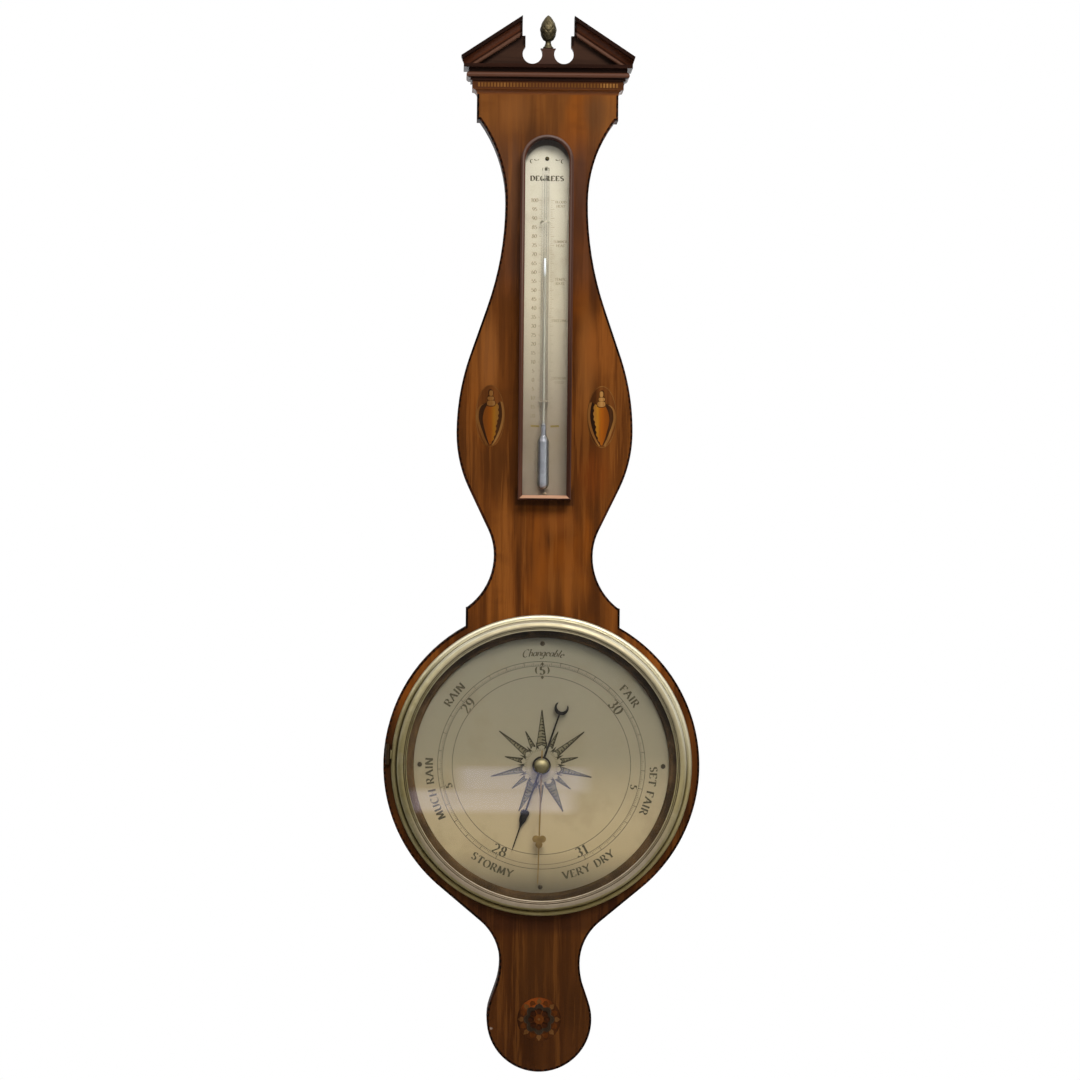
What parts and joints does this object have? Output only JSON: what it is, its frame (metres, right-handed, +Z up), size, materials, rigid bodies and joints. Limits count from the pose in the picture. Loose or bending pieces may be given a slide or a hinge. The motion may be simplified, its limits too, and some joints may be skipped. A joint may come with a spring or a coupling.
{
  "type": "banjo wheel barometer",
  "caption": "Wall barometer in a banjo-shaped mahogany case with a round silvered dial, a boxed thermometer, a broken pediment and a siphon tube movement.",
  "frame": {"origin": "centre of the hanging hole on the wall side of the hanging plate", "axes": "+Z up along the case, +Y towards the wall, so the dial faces -Y"},
  "size_m": [0.2908, 0.0664, 0.9726],
  "materials": {
    "mahogany": "French-polished mahogany",
    "ebony": "polished dark stringing",
    "satinwood": "polished pale inlay",
    "pine": "bare aged softwood",
    "aged_brass": "aged, lightly polished",
    "brass": "polished",
    "silvered_brass": "silvered and lacquered",
    "blued_steel": "blued",
    "steel": "bright",
    "clear_glass": "clear",
    "mercury": "bright liquid metal",
    "silk": "silk thread",
    "weights": "dark glass"
  },
  "bodies": {
    "case": {"carcass": "mahogany", "front_veneer": "mahogany", "edge_stringing": "ebony", "shell_ovals": "mahogany", "shell_figures": "satinwood", "flower_roundel": "mahogany", "flower_petals": "satinwood", "cornice": "mahogany", "frieze_blocks": "satinwood", "tympanum": "mahogany", "left_rake": "mahogany", "right_rake": "mahogany", "finial": "aged_brass", "thermometer_frame": "mahogany", "thermometer_glass": "clear_glass", "thermometer_scale": "silvered_brass", "thermometer_tube": "clear_glass", "thermometer_mercury": "mercury", "thermometer_clips": "brass", "scale_screws": "brass", "dial_plate": "silvered_brass", "dial_slip": "mahogany", "dial_screws": "brass", "arbor_bush": "brass", "bridge_bar": "brass", "bridge_pillars": "brass", "bridge_screws": "steel", "bezel_hinge_leaf": "aged_brass", "bezel_hinge_pin": "aged_brass", "siphon_tube": "clear_glass", "mercury_short": "mercury", "mercury_long": "mercury", "counterweight_tube": "clear_glass", "tube_cradles": "pine", "tube_straps": "brass", "strap_screws": "steel", "hanging_plate": "brass", "hanging_screws": "steel", "door_hinge_case_leaves": "brass", "door_hinge_pins": "steel", "catch_screw": "steel", "float_thread": "silk", "counter_thread": "silk"},
    "bezel": {"bezel": "aged_brass", "bezel_glass": "clear_glass", "glass_retainer": "aged_brass"},
    "setting_hand": {"setting_knob": "brass", "setting_hand": "brass", "setting_washer": "brass"},
    "movement": {"hand_arbor": "steel", "indicator_hand": "blued_steel", "pulley": "brass", "pulley_thread": "silk"},
    "float": {"float_weight": "weights"},
    "counterweight": {"counterweight": "weights"},
    "back_door": {"back_door": "pine", "door_hinge_door_leaves": "brass"},
    "turn_button": {"turn_button": "brass"}
  },
  "joints": [
    {"name": "bezel_open", "type": "hinge", "parent": "case", "child": "bezel", "pos_m": [-0.1412, -0.0507, -0.623], "axis": [0, 0, -1], "range_deg": [0, 110]},
    {"name": "setting_hand_turn", "type": "hinge", "parent": "bezel", "child": "setting_hand", "pos_m": [0, -0.0566, -0.632], "axis": [0, 1, 0], "continuous": true},
    {"name": "hand_turn", "type": "hinge", "parent": "case", "child": "movement", "pos_m": [0, -0.024, -0.632], "axis": [0, 1, 0], "range_deg": [0, 316]},
    {"name": "float_slide", "type": "slide", "parent": "case", "child": "float", "axis": [0, 0, 1], "range_m": [-0.0392, 0], "deforming": ["float_thread", "mercury_short"]},
    {"name": "counterweight_slide", "type": "slide", "parent": "case", "child": "counterweight", "axis": [0, 0, 1], "range_m": [0, 0.0392], "deforming": ["counter_thread", "mercury_long"]},
    {"name": "door_open", "type": "hinge", "parent": "case", "child": "back_door", "pos_m": [0.033, -0.0028, -0.462], "axis": [0, 0, -1], "range_deg": [0, 110]},
    {"name": "button_turn", "type": "hinge", "parent": "case", "child": "turn_button", "pos_m": [-0.04, -0.002, -0.332], "axis": [0, 1, 0], "range_deg": [0, 90]}
  ],
  "couplings": [
    {"joint": "float_slide", "follows": "hand_turn", "m_per_rad": -0.0070744},
    {"joint": "counterweight_slide", "follows": "hand_turn", "m_per_rad": 0.0070744}
  ]
}
